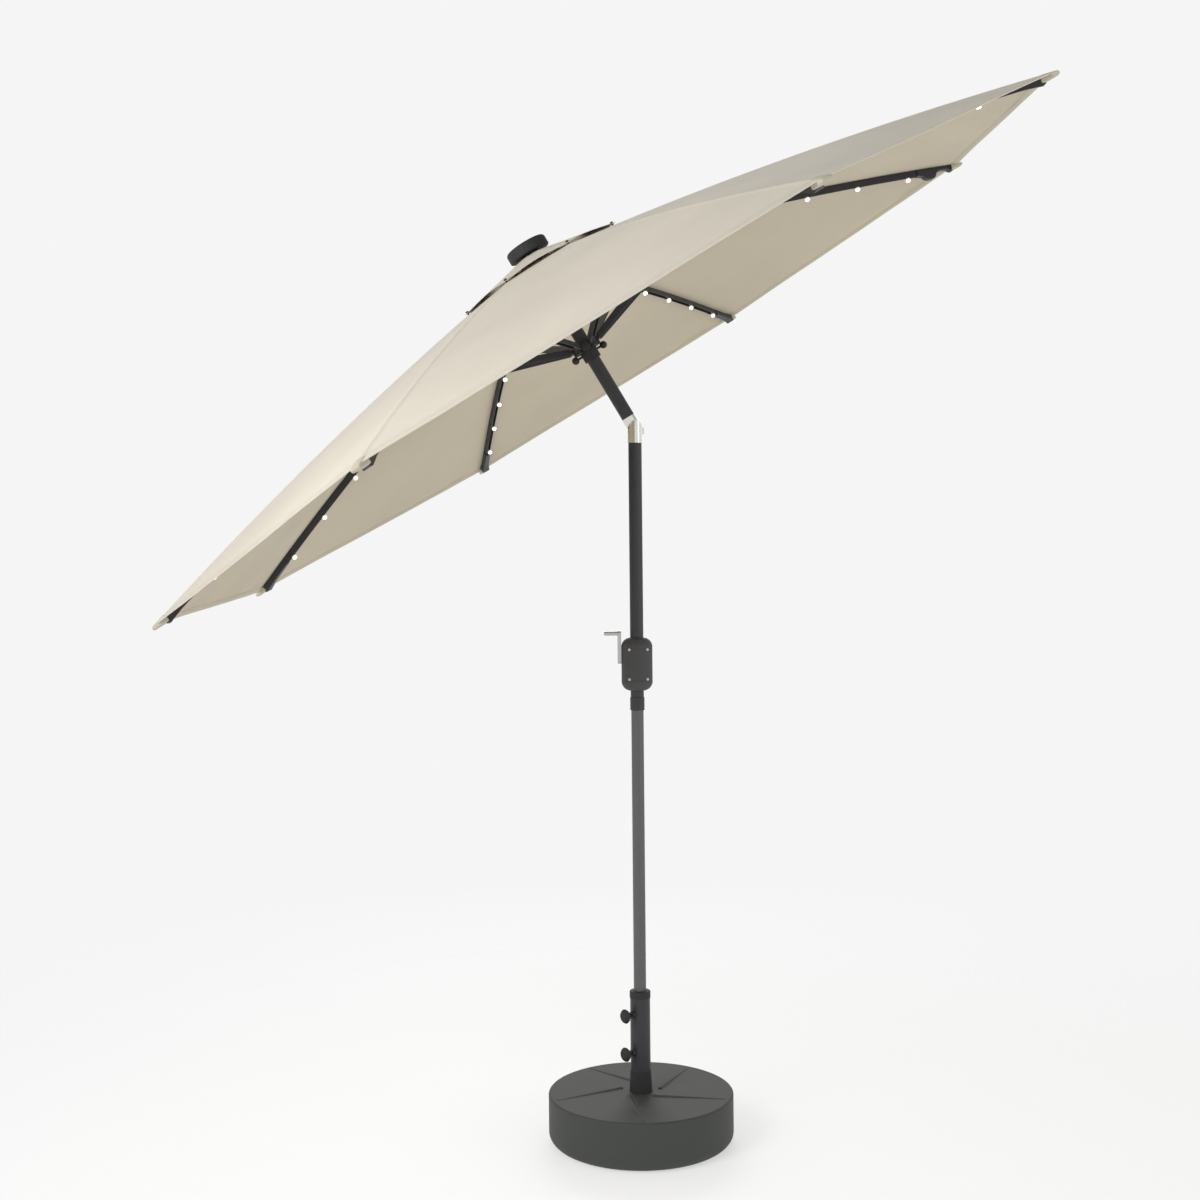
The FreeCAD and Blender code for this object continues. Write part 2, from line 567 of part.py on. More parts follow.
# ---- runner -------------------------------------------------------------------------------
def make_runner():
    z0, z1 = RUNNER_Z - RUNNER_HALF, RUNNER_Z + RUNNER_HALF
    flange = drum(RUNNER_R, z0, z1, 3.0, 2.0)
    flange = slotted(flange, CROWN_SLOT, RUNNER_SLOT_R, RUNNER_R, z0, z1)
    sleeve = drum(SLEEVE_R, SLEEVE_BOTTOM, z0, 1.0, 0.5)
    ring = ring_wire(RUNNER_RING_R, RING_WIRE_R, RUNNER_Z)
    rod_bores = []
    knobs = []
    for side in (-1, 1):
        start = V(side * (SLEEVE_R - 3.5), 0, KNOB_Z)
        centre = V(side * KNOB_REACH, 0, KNOB_Z)
        rod_bores.append(rod(KNOB_ROD_R, start, centre))
        knob = rod(KNOB_ROD_R, start, centre).fuse(Part.makeSphere(KNOB_R, centre))
        knobs.append(leaned(knob.removeSplitter()))
    hub = flange.fuse(sleeve).cut([upright(POLE_R + SLIDE_FIT, SLEEVE_BOTTOM, z1)] + rod_bores)
    hub = hub.cut(ring_wire(RUNNER_RING_R, RING_WIRE_R + 0.02, RUNNER_Z))
    save("runner_hub", leaned(hub.removeSplitter()), leaned(ring))
    save("runner_knobs", *knobs)


# ---- ribs, struts, canopy and lights ------------------------------------------------------
def bowed_arc(x0, x1, offset):
    """The part of the bowed line, or of a line beside it, between two distances from the apex."""
    points = [V(x, 0, bowed_z(x, offset)) for x in (x0, (x0 + x1) / 2, x1)]
    return arc(*points)


def bowed_box(x0, x1, y0, y1, z0, z1):
    """A box that follows the bow of the rib."""
    low, high = bowed_arc(x0, x1, z0), bowed_arc(x0, x1, z1)
    ends = [line(V(x, 0, bowed_z(x, z0)), V(x, 0, bowed_z(x, z1))) for x in (x0, x1)]
    face = Part.Face(Part.Wire(Part.__sortEdges__([low, high] + ends)))
    face.translate(V(0, y0, 0))
    return face.extrude(V(0, y1 - y0, 0))


def channel(width, depth, wall, x0, x1, z_top, shape=None):
    """A channel that opens downwards, straight or bowed."""
    shape = shape or box
    outer = shape(x0, x1, -width / 2, width / 2, z_top - depth, z_top)
    return outer.cut(shape(x0, x1, -width / 2 + wall, width / 2 - wall, z_top - depth, z_top - wall))


def rib_solids(name):
    """The channel, the crown tongue, the strut bracket and the tip cap."""
    top = -RIB_DROP
    start = CROWN_PIN_S + RIB_NECK
    beam = channel(RIB_W, RIB_D, RIB_WALL, start, RIB_END, top, bowed_box)

    pin = V(CROWN_PIN_S, 0, RIB_CENTRE)
    side = V(0, TONGUE_T / 2, 0)
    tongue = rod(EYE_R, pin - side, pin + side)
    tongue = tongue.fuse(bowed_box(CROWN_PIN_S, start + 1, -TONGUE_T / 2, TONGUE_T / 2,
                                   RIB_CENTRE - EYE_R, RIB_CENTRE + EYE_R))
    core = RIB_W / 2 - RIB_WALL
    tongue = tongue.fuse(bowed_box(start, start + TONGUE_INSET, -core, core,
                                   RIB_CENTRE - EYE_R, top - RIB_WALL))
    tongue = tongue.cut(rod(RING_WIRE_R + RUN_FIT, pin - side * 3, pin + side * 3))

    pivot_z = STRUT_PIVOT_Z
    cheek_top = bowed_z(STRUT_AT, top - RIB_D) + 1.0
    cheek_r = STRUT_PIN_R + OPEN_PIVOT_GAP + 2.4
    gap = RIB_W / 2
    full = gap + BRACKET_WALL
    bracket = bowed_box(STRUT_AT - BRACKET_L / 2, STRUT_AT + BRACKET_L / 2, -full, full,
                        top - RIB_D, top - 4.0)
    for x in (-1, 1):
        bracket = bracket.fuse(box(STRUT_AT - cheek_r, STRUT_AT + cheek_r,
                                   min(x * gap, x * full), max(x * gap, x * full),
                                   pivot_z, cheek_top))
        bracket = bracket.fuse(rod(cheek_r, V(STRUT_AT, x * gap, pivot_z),
                                   V(STRUT_AT, x * full, pivot_z)))
    room = box(STRUT_AT - BRACKET_L, STRUT_AT + BRACKET_L, -gap, gap, -60, 60)
    hole = rod(STRUT_PIN_R + OPEN_PIVOT_GAP, V(STRUT_AT, -20, pivot_z), V(STRUT_AT, 20, pivot_z))
    bracket = bracket.cut([room, hole])

    cap = lobed_cap() if name == LOBED_RIB else plain_cap()
    return [beam, tongue.removeSplitter(), bracket.removeSplitter(), fitted_cap(cap, beam, top)]


def cap_blank(outline, width):
    """A cap's side view, given from its end and below its roof, carried across its width."""
    roof = -RIB_DROP - CAP_STEP
    points = [V(CAP_END + x, -width / 2, roof + z + bowed_z(CAP_END + x)) for x, z in outline]
    return Part.Face(Part.makePolygon(points + points[:1])).extrude(V(0, width, 0))


def plain_cap():
    """A wedge that flares towards the canopy's corner."""
    blank = cap_blank([(-TIP_L, 0), (-TIP_L, -RIB_D), (-TIP_FLARE, -RIB_D), (-8, -TIP_END_D),
                       (0, -TIP_END_D + 5), (0, -5), (-5, 0)], TIP_END_W)
    neck, end = TIP_NECK_W / 2, TIP_END_W / 2
    plan = [(-TIP_L, -neck), (-TIP_FLARE, -neck - 1), (-8, -end), (0, -end + 4),
            (0, end - 4), (-8, end), (-TIP_FLARE, neck + 1), (-TIP_L, neck)]
    points = [V(CAP_END + x, y, -60) for x, y in plan]
    return blank.common(Part.Face(Part.makePolygon(points + points[:1])).extrude(V(0, 0, 120)))


def lobed_cap():
    """A cap with a lobe, a thin arm and a hook for the canopy's corner."""
    outline = [(-TIP_L, 0), (-TIP_L, -RIB_D + 1), (-TIP_L + 17, -RIB_D - 2), (-TIP_L + 26, -TIP_LOBE + 3),
               (-TIP_L + 36, -TIP_LOBE), (-TIP_L + 49, -TIP_LOBE), (-TIP_L + 58, -TIP_LOBE + 4),
               (-TIP_L + 66, -RIB_D + 1), (-TIP_L + 74, -TIP_ARM - 1), (-34, -TIP_ARM),
               (-20, -TIP_ARM - 1), (-14, -TIP_HOOK + 2), (-6, -TIP_HOOK), (0, -TIP_HOOK + 4),
               (0, -4), (-4, 0)]
    cap = cap_blank(outline, TIP_W)
    rims = [e for e in cap.Edges if e.BoundBox.YLength < 0.1 and e.BoundBox.XMin > CAP_END - TIP_L + 0.1]
    return cap.makeChamfer(1.2, rims)


def fitted_cap(cap, beam, top):
    """A cap with the rib's channel let into it, and the plug that fills the channel."""
    core = RIB_W / 2 - RIB_WALL
    slot = bowed_box(CAP_END - TIP_L - 1, RIB_END, -RIB_W / 2, RIB_W / 2, top - RIB_D, top)
    plug = bowed_box(CAP_END - TIP_L - 1, RIB_END, -core, core, top - RIB_D, top - RIB_WALL)
    return cap.cut(slot.cut(plug)).cut(beam).removeSplitter()


def canopy_z(radius):
    """Height of the canopy's outer face over a rib."""
    slope = radians(SLOPE)
    along = radius / cos(slope)
    for _ in range(4):
        along = (radius - bowed_z(along) * sin(slope)) / cos(slope)
    return APEX_Z - along * sin(slope) + bowed_z(along) * cos(slope)


def gore_strip(azimuth):
    """Cloth across a whole gore, straight from rib to rib and bowed from the crown to the rim."""
    half = radians(GORE / 2)
    pitch = atan2(tan(radians(SLOPE)), cos(half))
    upper = []
    for step in range(STRIP_STEPS + 1):
        radius = CANOPY_HOLE_R - 5 + (CANOPY_R + 10 - CANOPY_HOLE_R) * step / STRIP_STEPS
        upper.append(V(radius * cos(half), 0, canopy_z(radius)))
    lower = [p - V(sin(pitch), 0, cos(pitch)) * FABRIC_T for p in upper]
    curves = []
    for points in (upper, lower):
        curve = Part.BSplineCurve()
        curve.interpolate(points)
        curves.append(curve.toShape())
    ends = [line(upper[0], lower[0]), line(upper[-1], lower[-1])]
    face = Part.Face(Part.Wire(Part.__sortEdges__(curves + ends)))
    reach = CANOPY_R * sin(half) + 10
    face.translate(V(0, -reach, 0))
    return turned(face.extrude(V(0, 2 * reach, 0)), azimuth)


def sector_solids(azimuth):
    """The two half gores that meet on a rib, drawn in the canopy frame."""
    a = radians(azimuth)
    solids = []
    for side in (-1, 1):
        b = a + side * radians(GORE)
        points = []
        for radius in (CANOPY_HOLE_R, CANOPY_R):
            rib_point = V(radius * cos(a), radius * sin(a), 0)
            next_point = V(radius * cos(b), radius * sin(b), 0)
            gap = GORE_GAP * radius / CANOPY_R
            chord = next_point - rib_point
            along = V(chord).normalize()
            middle = rib_point + chord * 0.5 - along * gap
            points.append((rib_point + along * SEAM_GAP, middle))
        outline = [points[0][0], points[1][0], points[1][1], points[0][1]]
        plan = Part.Face(Part.makePolygon(outline + outline[:1])).extrude(V(0, 0, 2 * APEX_Z))
        solids.append(gore_strip(azimuth + side * GORE / 2).common(plan))
    return solids


def led_string():
    """A wire inside the channel with lamps that look out of its open side."""
    top = -RIB_DROP - RIB_WALL - 0.1
    rim = -RIB_DROP - RIB_D - LED_GAP
    start = CROWN_PIN_S + RIB_NECK + TONGUE_INSET + 2.0
    places = [RIB_LINE * share for share in LED_PLACES]
    wire_z = top - WIRE_R - 0.6
    path = bowed_arc(start, places[-1] + LED_STEM_R - 1.0, wire_z)
    ring = Part.makeCircle(WIRE_R, path.valueAt(path.FirstParameter), path.tangentAt(path.FirstParameter))
    wire = Part.Wire(path).makePipeShell([Part.Wire(ring)], True, False)
    lamp = drum(LED_R, rim - LED_PROUD, rim, LED_R - 0.4, 0.8).fuse(upright(LED_STEM_R, rim - 1, top))
    lamps = []
    for x in places:
        pitch = Rotation(V(0, 1, 0), degrees(asin((x - BOW_MID) / BOW_R)))
        lamps.append(put(lamp, Placement(V(x, 0, bowed_z(x)), pitch)))
    return wire.fuse(lamps).removeSplitter()


def strut_solid():
    """A channel with a flat tongue at each end, and the rivet of its rib pivot."""
    beam = channel(STRUT_W, STRUT_D, STRUT_WALL, STRUT_NECK, STRUT_L - STRUT_NECK, STRUT_D / 2)
    core = STRUT_W / 2 - STRUT_WALL
    low, high = -EYE_R + 0.5, EYE_R - 0.5
    side = V(0, TONGUE_T / 2, 0)
    foot = rod(EYE_R - 0.5, -side, side)
    foot = foot.fuse(box(0, STRUT_NECK + 1, -TONGUE_T / 2, TONGUE_T / 2, low, high))
    foot = foot.fuse(box(STRUT_NECK, STRUT_NECK + TONGUE_INSET, -core, core, low, STRUT_D / 2 - STRUT_WALL))
    foot = foot.cut(rod(RING_WIRE_R + RUN_FIT, -side * 3, side * 3))
    end = V(STRUT_L, 0, 0)
    half = STRUT_TONGUE_T / 2
    head = rod(EYE_R - 1.0, end - V(0, half, 0), end + V(0, half, 0))
    head = head.fuse(box(STRUT_L - STRUT_NECK - TONGUE_INSET, STRUT_L, -half, half, -EYE_R + 1, EYE_R - 1))
    block = box(STRUT_L - STRUT_NECK - TONGUE_INSET, STRUT_L - STRUT_NECK, -core, core,
                -EYE_R + 1, STRUT_D / 2 - STRUT_WALL)
    rivet_half = RIB_W / 2 + BRACKET_WALL + 1.0
    rivet = rod(STRUT_PIN_R, end - V(0, rivet_half, 0), end + V(0, rivet_half, 0))
    return beam.fuse([foot, head, block, rivet]).removeSplitter()


def make_frame():
    lights, strut = led_string(), strut_solid()
    for name, azimuth in RIB_AZ.items():
        save("rib_" + name, *[on_rib(solid, azimuth) for solid in rib_solids(name)])
        save("led_string_" + name, on_rib(lights, azimuth))
        save("strut_" + name, on_strut(strut, azimuth))
        save("canopy_sector_" + name, *[leaned(s) for s in sector_solids(azimuth)])


make_base()
for place, screw_height in SCREW_HEIGHTS.items():
    save("thumb_screw_" + place, thumb_screw(screw_height))
make_poles()
make_crank()
make_tilt()
make_crown()
make_runner()
make_frame()
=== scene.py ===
"""Tilting patio umbrella in a round weighted base: cloth, lamps and finishes round the frame."""
import json
import math

import bmesh
import bpy
from mathutils import Matrix, Vector, noise


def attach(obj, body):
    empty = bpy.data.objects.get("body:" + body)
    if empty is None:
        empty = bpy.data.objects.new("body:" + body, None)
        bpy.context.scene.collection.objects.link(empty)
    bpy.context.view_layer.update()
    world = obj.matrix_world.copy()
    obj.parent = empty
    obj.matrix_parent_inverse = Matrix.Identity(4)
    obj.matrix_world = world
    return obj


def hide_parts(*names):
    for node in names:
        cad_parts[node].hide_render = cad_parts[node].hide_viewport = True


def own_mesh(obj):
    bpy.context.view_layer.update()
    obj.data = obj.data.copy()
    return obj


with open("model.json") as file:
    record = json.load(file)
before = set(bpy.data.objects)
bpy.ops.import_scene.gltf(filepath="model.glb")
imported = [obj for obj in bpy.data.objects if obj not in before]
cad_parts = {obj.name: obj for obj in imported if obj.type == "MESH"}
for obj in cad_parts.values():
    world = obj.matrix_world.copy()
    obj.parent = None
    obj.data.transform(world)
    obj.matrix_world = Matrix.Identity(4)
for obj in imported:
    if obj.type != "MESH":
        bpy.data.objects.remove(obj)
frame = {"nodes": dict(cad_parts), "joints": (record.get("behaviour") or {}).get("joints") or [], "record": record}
nodes = frame["nodes"]
joints = {j["name"]: j for j in frame["joints"]}
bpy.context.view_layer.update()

RIBS = "ABCDEFGH"
PIE = math.pi / len(RIBS)          # half the angle between neighbouring ribs
SEAM = 0.0085                      # half width of the felled seam over each rib
HEM = 0.024                        # depth of the hem
HEM_INSET = 0.012                  # of the hem behind the line between two corners
SAG = 0.002                        # of a panel's middle, as a share of its width
CLOTH = 0.0010                     # thickness
THREAD = 0.0011                    # from one thread of the weave to the next
STITCH = 0.0042                    # from one stitch to the next
VENT_LIFT = 0.009                  # of the vent tier's edge between its corners


# ---- node helpers ---------------------------------------------------------------------------
def add(mat, kind, inputs=None, **settings):
    """A shader node whose inputs are values or other nodes' outputs."""
    node = mat.node_tree.nodes.new("ShaderNode" + kind)
    for key, value in settings.items():
        setattr(node, key, value)
    for key, value in (inputs or {}).items():
        if isinstance(value, bpy.types.NodeSocket):
            mat.node_tree.links.new(value, node.inputs[key])
        else:
            node.inputs[key].default_value = value
    return node


def math_node(mat, operation, *values):
    node = add(mat, "Math", {i: v for i, v in enumerate(values)}, operation=operation)
    return node.outputs[0]


def blend_colour(mat, amount, first, second):
    node = add(mat, "Mix", {0: amount}, data_type="RGBA")
    for index, value in ((6, first), (7, second)):
        if isinstance(value, bpy.types.NodeSocket):
            mat.node_tree.links.new(value, node.inputs[index])
        else:
            node.inputs[index].default_value = (*value, 1)
    return node.outputs[2]


def between(mat, value, low, high, to_low=0.0, to_high=1.0):
    """A value remapped from low..high to to_low..to_high, and held there."""
    node = add(mat, "MapRange", {"Value": value, "From Min": low, "From Max": high,
                                 "To Min": to_low, "To Max": to_high})
    return node.outputs[0]


def noise_at(mat, scale, detail=3.0, vector=None, roughness=0.5):
    inputs = {"Scale": scale, "Detail": detail, "Roughness": roughness}
    if vector is not None:
        inputs["Vector"] = vector
    else:
        inputs["Vector"] = add(mat, "TexCoord").outputs["Object"]
    return add(mat, "TexNoise", inputs).outputs[0]


def stretched(mat, scale):
    """Object coordinates scaled by a different factor along each axis."""
    place = add(mat, "TexCoord").outputs["Object"]
    return add(mat, "Mapping", {"Vector": place, "Scale": scale}).outputs[0]


def bumped(mat, height, distance, strength=1.0):
    """Connects a height to the shader's normal."""
    node = add(mat, "Bump", {"Height": height, "Distance": distance, "Strength": strength})
    shader = mat.node_tree.nodes["Principled BSDF"]
    mat.node_tree.links.new(node.outputs[0], shader.inputs["Normal"])


def surface(name, colour, roughness, **sockets):
    """A material with its even values set on the shader's own sockets."""
    mat = bpy.data.materials.new(name)
    mat.use_nodes = True
    shader = mat.node_tree.nodes["Principled BSDF"]
    shader.inputs["Base Color"].default_value = (*colour, 1)
    shader.inputs["Roughness"].default_value = roughness
    for key, value in sockets.items():
        shader.inputs[key.replace("_", " ")].default_value = value
    return mat


def linked(mat, name, output):
    mat.node_tree.links.new(output, mat.node_tree.nodes["Principled BSDF"].inputs[name])


def worn(mat, base, light, amount):
    """Edges rubbed towards a lighter colour."""
    edge = between(mat, add(mat, "NewGeometry").outputs["Pointiness"], 0.53, 0.62)
    patchy = between(mat, noise_at(mat, 60.0), 0.4, 0.65)
    return blend_colour(mat, math_node(mat, "MULTIPLY", edge, math_node(
        mat, "MULTIPLY", patchy, amount)), base, light)


def moulded(name, colour, roughness, grain, depth, mottle=0.25, wear=0.5):
    """Plastic with a spark-eroded grain, slight clouding and rubbed edges."""
    mat = surface(name, colour, roughness)
    lighter = tuple(c * (1 + mottle) + 0.004 for c in colour)
    darker = tuple(c * (1 - mottle) for c in colour)
    cloud = blend_colour(mat, between(mat, noise_at(mat, 9.0, 5.0), 0.35, 0.65), darker, lighter)
    dusty = tuple(c * 2.2 + 0.02 for c in colour)
    linked(mat, "Base Color", worn(mat, cloud, dusty, wear))
    fine = noise_at(mat, 1.0 / grain, 2.0)
    linked(mat, "Roughness", between(mat, noise_at(mat, 25.0, 4.0), 0.3, 0.7,
                                     roughness - 0.06, roughness + 0.07))
    bumped(mat, fine, depth)
    return mat


def coated(name, colour, roughness, **sockets):
    """Powder coat on steel: orange peel, faint dust and a soft sheen of lacquer."""
    mat = surface(name, colour, roughness, **sockets)
    cloud = between(mat, noise_at(mat, 6.0, 4.0), 0.35, 0.65)
    lighter = tuple(c * 1.25 + 0.003 for c in colour)
    base = blend_colour(mat, cloud, colour, lighter)
    linked(mat, "Base Color", worn(mat, base, tuple(c * 3 + 0.03 for c in colour), 0.6))
    streaks = noise_at(mat, 1.0, 3.0, stretched(mat, (90.0, 90.0, 3.0)))
    linked(mat, "Roughness", between(mat, streaks, 0.3, 0.7, roughness - 0.05, roughness + 0.06))
    peel = noise_at(mat, 900.0, 2.0)
    bumped(mat, peel, 0.00008)
    return mat


def metal(name, colour, roughness, streak=(400.0, 400.0, 8.0), depth=0.00002, **sockets):
    """Bare metal with fine drawn streaks and cloudy wear."""
    mat = surface(name, colour, roughness, Metallic=1.0, **sockets)
    lines = noise_at(mat, 1.0, 4.0, stretched(mat, streak))
    cloud = between(mat, noise_at(mat, 30.0, 4.0), 0.35, 0.7)
    dull = tuple(c * 0.72 for c in colour)
    linked(mat, "Base Color", blend_colour(mat, math_node(mat, "MULTIPLY", cloud, 0.5), colour, dull))
    linked(mat, "Roughness", between(mat, lines, 0.3, 0.7, roughness - 0.05, roughness + 0.09))
    bumped(mat, lines, depth)
    return mat


def woven(name, colour, thread, roughness=0.82, hem_at=None):
    """Woven polyester. The UV map is in metres: u is the distance from the seam, v along it."""
    mat = surface(name, colour, roughness, Sheen_Weight=0.12, Sheen_Roughness=0.5)
    uv = add(mat, "TexCoord").outputs["UV"]
    split = add(mat, "SeparateXYZ", {0: uv})
    u, v = split.outputs[0], split.outputs[1]
    pick = 2 * math.pi / THREAD
    warp = math_node(mat, "SINE", math_node(mat, "MULTIPLY", u, pick))
    weft = math_node(mat, "SINE", math_node(mat, "MULTIPLY", v, pick))
    weave = math_node(mat, "MULTIPLY", warp, weft)
    slub_noise = []
    for scale in ((25.0, 900.0, 1.0), (900.0, 25.0, 1.0)):
        place = add(mat, "Mapping", {"Vector": uv, "Scale": scale}).outputs[0]
        slub_noise.append(noise_at(mat, 1.0, 2.0, place))
    slubs = math_node(mat, "ADD", *slub_noise)
    cloud = between(mat, noise_at(mat, 2.2, 5.0), 0.3, 0.7)
    darker = tuple(c * 0.93 for c in colour)
    lighter = tuple(min(1.0, c * 1.05) for c in colour)
    base = blend_colour(mat, cloud, darker, lighter)
    grain = between(mat, slubs, 0.8, 1.2, 0.0, 0.12)
    base = blend_colour(mat, grain, base, tuple(c * 0.72 for c in colour))
    stitches = stitch_rows(mat, u, v, (0.0025, 0.0068), hem_at)
    base = blend_colour(mat, stitches, base, thread)
    linked(mat, "Base Color", base)
    height = math_node(mat, "ADD", math_node(mat, "MULTIPLY", weave, 0.35),
                       math_node(mat, "ADD", slubs, math_node(mat, "MULTIPLY", stitches, 2.0)))
    bumped(mat, height, 0.00022)
    return mat


def stitch_rows(mat, u, v, seams, hem_at):
    """1 on a stitch: rows beside the seam, and two along the hem."""
    width, length, share = 0.0007, STITCH, 0.72
    across = math_node(mat, "ABSOLUTE", u)
    along_v = math_node(mat, "LESS_THAN", math_node(
        mat, "FRACT", math_node(mat, "DIVIDE", v, length)), share)
    along_u = math_node(mat, "LESS_THAN", math_node(
        mat, "FRACT", math_node(mat, "DIVIDE", u, length)), share)
    rows = [math_node(mat, "MULTIPLY", along_v, math_node(mat, "COMPARE", across, at, width))
            for at in seams]
    for at in hem_at or ():
        rows.append(math_node(mat, "MULTIPLY", along_u, math_node(mat, "COMPARE", v, at, width)))
    total = rows[0]
    for row in rows[1:]:
        total = math_node(mat, "MAXIMUM", total, row)
    return total


# ---- mesh helpers ---------------------------------------------------------------------------
def piece(name, verts, faces, materials, picks=None, uvs=None, angle=35.0):
    """A mesh object with outward normals; picks gives each face its material."""
    data = bpy.data.meshes.new(name)
    data.from_pydata([tuple(v) for v in verts], [], faces)
    for mat in materials:
        data.materials.append(mat)
    if picks:
        data.polygons.foreach_set("material_index", picks)
    if uvs:
        layer = data.uv_layers.new(name="cloth")
        for loop in data.loops:
            layer.data[loop.index].uv = uvs[loop.vertex_index]
    work = bmesh.new()
    work.from_mesh(data)
    bmesh.ops.recalc_face_normals(work, faces=work.faces)
    work.to_mesh(data)
    work.free()
    data.shade_smooth()
    data.set_sharp_from_angle(angle=math.radians(angle))
    obj = bpy.data.objects.new(name, data)
    bpy.context.scene.collection.objects.link(obj)
    return obj


def turned(profile, segments=24):
    """Vertices and faces of an outline (radius, height) turned about Z."""
    verts, faces, rings = [], [], []
    for radius, height in profile:
        if radius < 1e-6:
            rings.append([len(verts)])
            verts.append(Vector((0, 0, height)))
            continue
        rings.append(list(range(len(verts), len(verts) + segments)))
        for i in range(segments):
            a = 2 * math.pi * i / segments
            verts.append(Vector((radius * math.cos(a), radius * math.sin(a), height)))
    for low, high in zip(rings, rings[1:]):
        for i in range(segments):
            j = (i + 1) % segments
            corners = [low[i % len(low)], low[j % len(low)], high[j % len(high)], high[i % len(high)]]
            faces.append(list(dict.fromkeys(corners)))
    return verts, faces


def joined(parts):
    """Several (verts, faces) as one, with each face's part number."""
    verts, faces, picks = [], [], []
    for number, (part_verts, part_faces) in enumerate(parts):
        start = len(verts)
        verts += part_verts
        faces += [[i + start for i in face] for face in part_faces]
        picks += [number] * len(part_faces)
    return verts, faces, picks


def grid_faces(rows, columns, start=0, close=False):
    """Quads between rows of points, each row with the same number of columns."""
    faces = []
    for r in range(rows - 1):
        for c in range(columns if close else columns - 1):
            a = start + r * columns + c
            b = start + r * columns + (c + 1) % columns
            faces.append([a, b, b + columns, a + columns])
    return faces


def shell(name, top, bottom, columns, materials, uvs):
    """A closed cloth from rows of points on its outer and inner sides; the second material is inside."""
    count = len(top)
    rows = count // columns
    faces = grid_faces(rows, columns) + grid_faces(rows, columns, count)
    half = len(faces) // 2
    picks = [0] * half + [1] * half
    rim = list(range(columns)) + [columns * (r + 1) - 1 for r in range(1, rows)]
    rim += [count - 1 - i for i in range(1, columns)]
    rim += [columns * r for r in range(rows - 2, 0, -1)]
    for a, b in zip(rim, rim[1:] + rim[:1]):
        faces.append([a, b, b + count, a + count])
        picks.append(0)
    return piece(name, top + bottom, faces, materials, picks, uvs + uvs, 50.0)


# ---- where things are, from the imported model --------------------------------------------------
PIVOT = Vector(joints["mast_tilt"]["pos_m"])
UP_MAST = -Vector(joints["runner_slide"]["axis"]).normalized()
CANOPY = Matrix.Translation(PIVOT) @ Vector((0, 0, 1)).rotation_difference(UP_MAST).to_matrix().to_4x4()


def azimuth(rib):
    place = CANOPY.inverted() @ Vector(joints[f"rib_{rib}_fold"]["pos_m"])
    return math.atan2(place.y, place.x)


def wheel(rib):
    """Frame of one rib: X points outwards, Y across the rib and Z up the mast."""
    return CANOPY @ Matrix.Rotation(azimuth(rib), 4, "Z")


def seen_from(place, node):
    inverse = place.inverted()
    return [inverse @ v.co for v in nodes[node].data.vertices]


seam = sorted((p for p in seen_from(wheel("A"), "canopy_sector_A") if abs(p.y) < 0.004), key=lambda p: p.x)
INNER = max((p for p in seam if p.x < seam[0].x + 0.001), key=lambda p: p.z)
OUTER = max((p for p in seam if p.x > seam[-1].x - 0.001), key=lambda p: p.z)
CHORD = Vector((OUTER.x - INNER.x, OUTER.z - INNER.z))
CHORD_OUT = Vector((-CHORD.y, CHORD.x)).normalized()


def above_chord(p):
    return Vector((p.x - INNER.x, p.z - INNER.z)).dot(CHORD_OUT)


TOP = max(seam, key=above_chord)


def circle_through(a, b, c):
    """Centre and radius of the circle through three points of an XZ plane."""
    (ax, az), (bx, bz), (cx, cz) = ((p.x, p.z) for p in (a, b, c))
    d = 2 * (ax * (bz - cz) + bx * (cz - az) + cx * (az - bz))
    a2, b2, c2 = ax * ax + az * az, bx * bx + bz * bz, cx * cx + cz * cz
    x = (a2 * (bz - cz) + b2 * (cz - az) + c2 * (az - bz)) / d
    z = (a2 * (cx - bx) + b2 * (ax - cx) + c2 * (bx - ax)) / d
    return x, z, math.hypot(ax - x, az - z)


BOW_X, BOW_Z, BOW_R = circle_through(INNER, TOP, OUTER)
BOW_START = math.atan2(INNER.z - BOW_Z, INNER.x - BOW_X)
LENGTH = BOW_R * (BOW_START - math.atan2(OUTER.z - BOW_Z, OUTER.x - BOW_X))


def bent(s, y=0.0, z=0.0):
    """A point in a rib's frame: s down the seam from the hole, y across, z out of the cloth."""
    a = BOW_START - s / BOW_R
    return Vector((BOW_X + (BOW_R + z) * math.cos(a), y, BOW_Z + (BOW_R + z) * math.sin(a)))


def unbent(p):
    """The same point as distances down the seam, across it and out of it."""
    a = math.atan2(p.z - BOW_Z, p.x - BOW_X)
    return Vector((BOW_R * (BOW_START - a), p.y, math.hypot(p.x - BOW_X, p.z - BOW_Z) - BOW_R))


